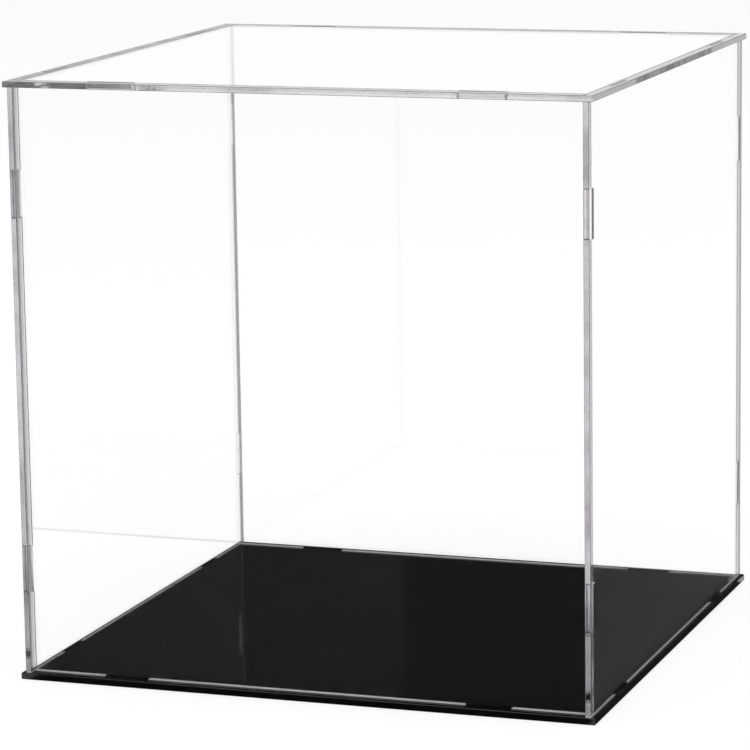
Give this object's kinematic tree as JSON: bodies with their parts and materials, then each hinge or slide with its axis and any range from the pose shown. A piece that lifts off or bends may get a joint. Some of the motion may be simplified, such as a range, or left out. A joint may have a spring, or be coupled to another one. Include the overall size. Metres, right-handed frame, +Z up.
{
  "type": "display case",
  "caption": "Clear flat-pack display case: tabbed acrylic sheets on a black base plate, whose cover lifts off to show a model inside.",
  "frame": {"origin": "middle of the base plate's underside, on the surface that the case stands on", "axes": "+Z up, the front panel towards -Y, +X to the right seen from the front"},
  "size_m": [0.25, 0.25, 0.252],
  "materials": {
    "black_acrylic": "polished black cast acrylic, laser-cut edges",
    "clear_acrylic": "polished clear cast acrylic, laser-cut edges"
  },
  "bodies": {
    "base": {"base_plate": "black_acrylic"},
    "walls": {"front_panel": "clear_acrylic", "back_panel": "clear_acrylic", "left_panel": "clear_acrylic", "right_panel": "clear_acrylic"},
    "top": {"top_panel": "clear_acrylic"}
  },
  "joints": [
    {"name": "cover_lift", "type": "slide", "parent": "base", "child": "walls", "axis": [0, 0, 1], "range_m": [0, 0.25]},
    {"name": "top_lift", "type": "slide", "parent": "walls", "child": "top", "axis": [0, 0, 1], "range_m": [0, 0.12]}
  ]
}
